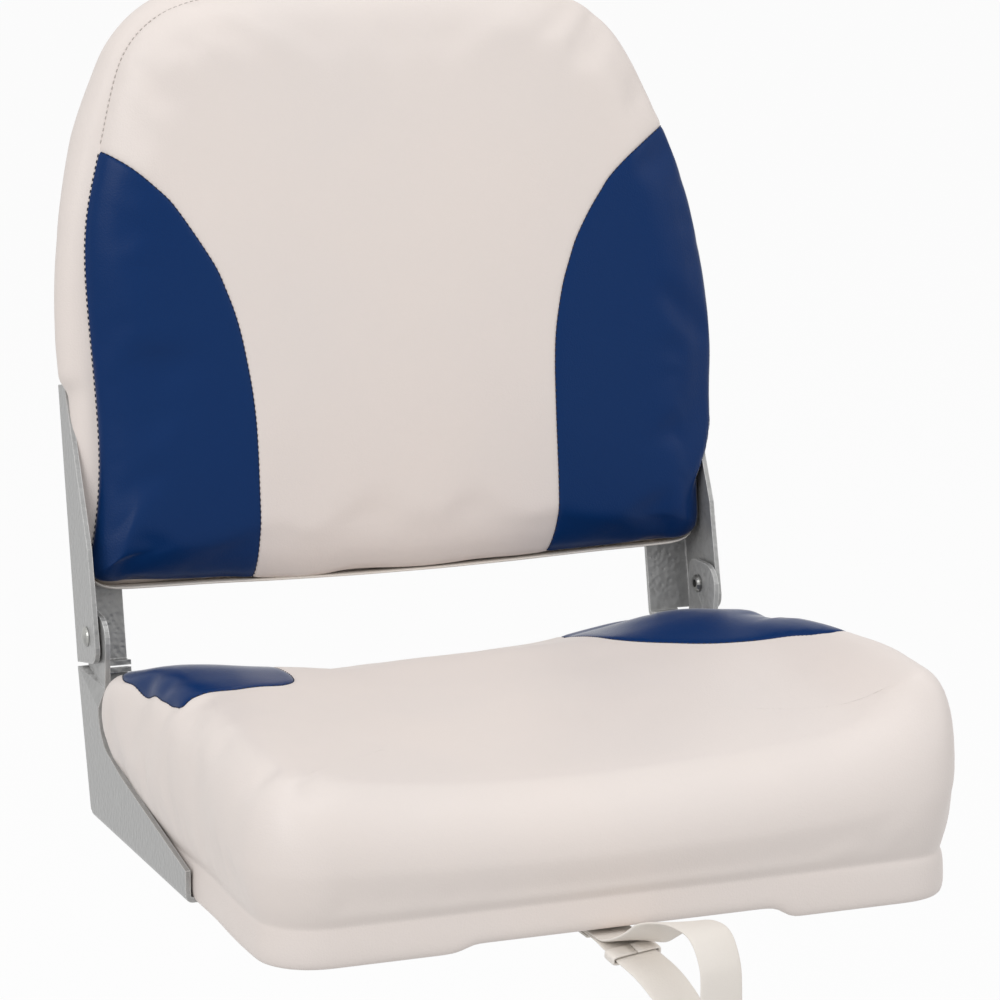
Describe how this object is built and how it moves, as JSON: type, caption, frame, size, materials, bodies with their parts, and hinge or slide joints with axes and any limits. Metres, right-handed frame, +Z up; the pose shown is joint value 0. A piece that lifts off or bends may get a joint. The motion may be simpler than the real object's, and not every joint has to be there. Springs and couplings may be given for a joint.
{
  "type": "folding boat seat",
  "caption": "Folding boat seat with a padded vinyl seat and backrest joined by steel side hinges, a moulded pan with an underside pedestal face and a hold-down strap at the front.",
  "frame": {"origin": "centre of the four-hole pedestal pattern, on the flat underside of the seat pan's deck", "axes": "+Z up, -Y towards the front of the seat, +X to the right side of the seat as it is looked at from the front"},
  "size_m": [0.4154, 0.5244, 0.5396],
  "materials": {
    "white_vinyl": "grained off-white marine vinyl, satin",
    "blue_vinyl": "grained navy marine vinyl, satin",
    "foam": "open-cell cushion foam, hidden under the vinyl",
    "pan_plastic": "moulded, matte",
    "shell_plastic": "moulded, fine texture",
    "hammered_grey_paint": "hammered grey paint, semi-gloss",
    "zinc_steel": "zinc-plated, satin",
    "insert_brass": "plain, satin",
    "nylon": "smooth nylon"
  },
  "bodies": {
    "seat": {"seat_cover": "white_vinyl", "seat_panel_left": "blue_vinyl", "seat_panel_right": "blue_vinyl", "seat_foam": "foam", "seat_pan": "pan_plastic", "mount_insert_1": "insert_brass", "mount_insert_2": "insert_brass", "mount_insert_3": "insert_brass", "mount_insert_4": "insert_brass", "strap": "white_vinyl", "strap_keeper": "white_vinyl", "strap_clamp": "shell_plastic", "strap_screw": "zinc_steel", "lower_bracket_left": "hammered_grey_paint", "lower_bracket_right": "hammered_grey_paint", "pivot_rivet_left": "zinc_steel", "pivot_rivet_right": "zinc_steel", "spacer_washer_left": "nylon", "spacer_washer_right": "nylon", "foot_screw_left_1": "zinc_steel", "foot_screw_left_2": "zinc_steel", "foot_screw_left_3": "zinc_steel", "foot_screw_right_1": "zinc_steel", "foot_screw_right_2": "zinc_steel", "foot_screw_right_3": "zinc_steel"},
    "backrest": {"back_cover": "white_vinyl", "back_panel_left": "blue_vinyl", "back_panel_right": "blue_vinyl", "back_side_band": "white_vinyl", "back_foam": "foam", "back_shell": "shell_plastic", "upper_bracket_left": "hammered_grey_paint", "upper_bracket_right": "hammered_grey_paint", "back_screw_left_1": "zinc_steel", "back_screw_left_2": "zinc_steel", "back_screw_left_3": "zinc_steel", "back_screw_right_1": "zinc_steel", "back_screw_right_2": "zinc_steel", "back_screw_right_3": "zinc_steel"}
  },
  "joints": [
    {"name": "backrest_fold", "type": "hinge", "parent": "seat", "child": "backrest", "pos_m": [0, 0.174, 0.1112], "axis": [1, 0, 0], "range_deg": [0, 90]}
  ]
}
